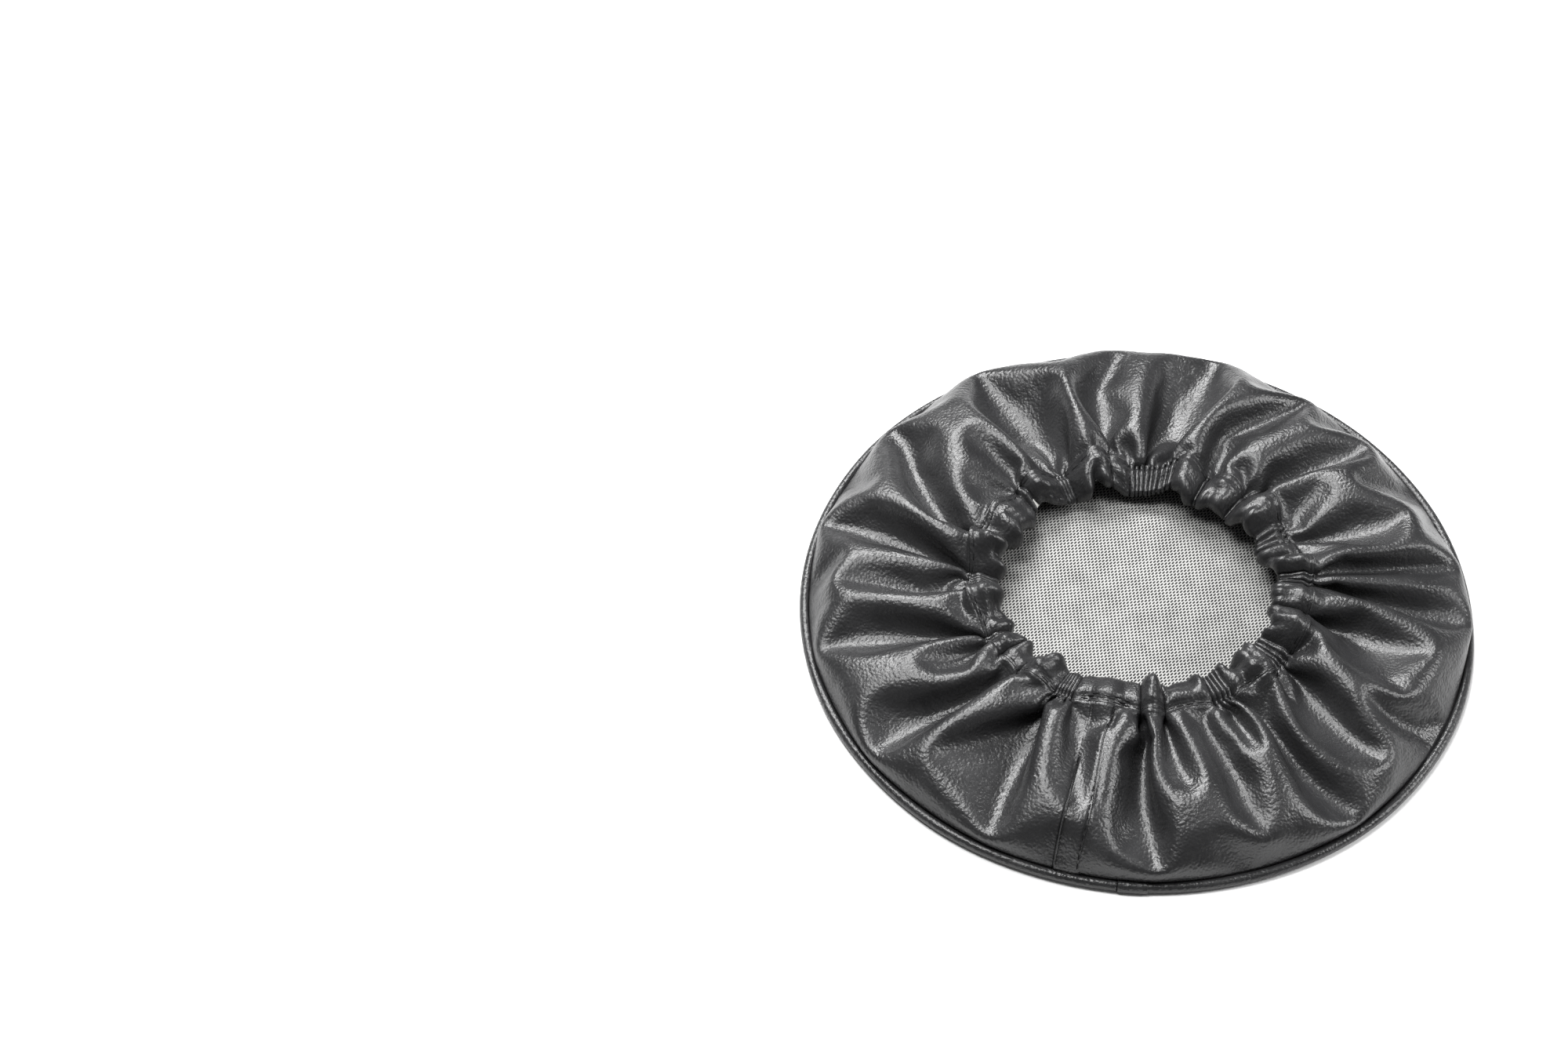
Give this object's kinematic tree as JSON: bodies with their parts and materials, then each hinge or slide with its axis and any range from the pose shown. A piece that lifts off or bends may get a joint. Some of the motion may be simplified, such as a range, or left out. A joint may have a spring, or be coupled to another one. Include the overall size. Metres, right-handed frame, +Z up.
{
  "type": "spare tire cover",
  "caption": "Round coated-cloth cover for a small spare wheel, with a flat front panel, a piped rim, a gathered side band and an elasticated mouth.",
  "frame": {"origin": "centre of the front panel's outer face, which lies on the floor", "axes": "+Z up, out of the elasticated mouth; +X and +Y in the panel's plane, with the side band's joining seam towards -Y"},
  "size_m": [0.4, 0.4006, 0.0492],
  "materials": {
    "coated_cloth": "satin",
    "knit_backing": "matte",
    "piping_core": "matte",
    "woven_elastic": "matte",
    "sewing_thread": "satin"
  },
  "bodies": {
    "root": {"front_panel_vinyl": "coated_cloth", "front_panel_backing": "knit_backing", "piping_sleeve": "coated_cloth", "piping_end_lap": "coated_cloth", "piping_cord": "piping_core", "side_band_vinyl": "coated_cloth", "side_band_backing": "knit_backing", "side_band_seam_allowance": "coated_cloth", "side_seam_topstitch": "sewing_thread", "side_seam_joining_thread": "sewing_thread", "piping_closing_thread": "sewing_thread", "rim_seam_thread": "sewing_thread"},
    "mouth": {"hem_casing_vinyl": "coated_cloth", "hem_casing_backing": "knit_backing", "elastic_band": "woven_elastic", "elastic_end_lap": "woven_elastic", "elastic_joining_thread": "sewing_thread", "hem_thread": "sewing_thread", "hem_backtack": "sewing_thread"}
  },
  "joints": [
    {"name": "mouth_lift", "type": "slide", "parent": "root", "child": "mouth", "axis": [0, 0, 1], "range_m": [-0.003, 0.028], "stiffness_N_per_m": 20, "springref_m": 0.0112}
  ]
}
